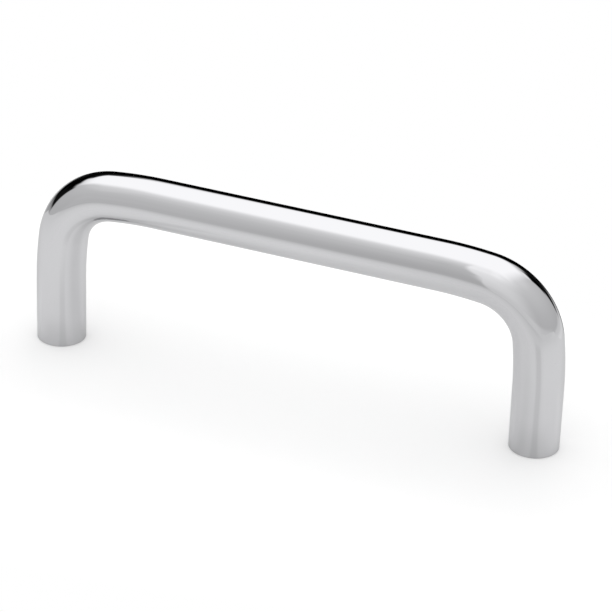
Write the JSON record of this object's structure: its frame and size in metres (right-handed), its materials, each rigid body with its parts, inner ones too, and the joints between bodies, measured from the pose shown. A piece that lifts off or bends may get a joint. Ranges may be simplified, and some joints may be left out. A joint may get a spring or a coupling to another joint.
{
  "type": "wire pull",
  "caption": "Cabinet or drawer pull: a polished round bar bent into a flat-topped U, with a tapped screw hole in the end of each leg.",
  "frame": {"origin": "on the face of the door or drawer, midway between the two screw holes", "axes": "+X along the grip from hole to hole, +Y across the bar, +Z out of the drawer front from the feet towards the grip"},
  "size_m": [0.0838, 0.0074, 0.0297],
  "materials": {
    "polished_chrome": "steel bar, polished and chrome plated to a mirror finish"
  },
  "bodies": {
    "root": {"pull_bar": "polished_chrome"}
  },
  "joints": []
}
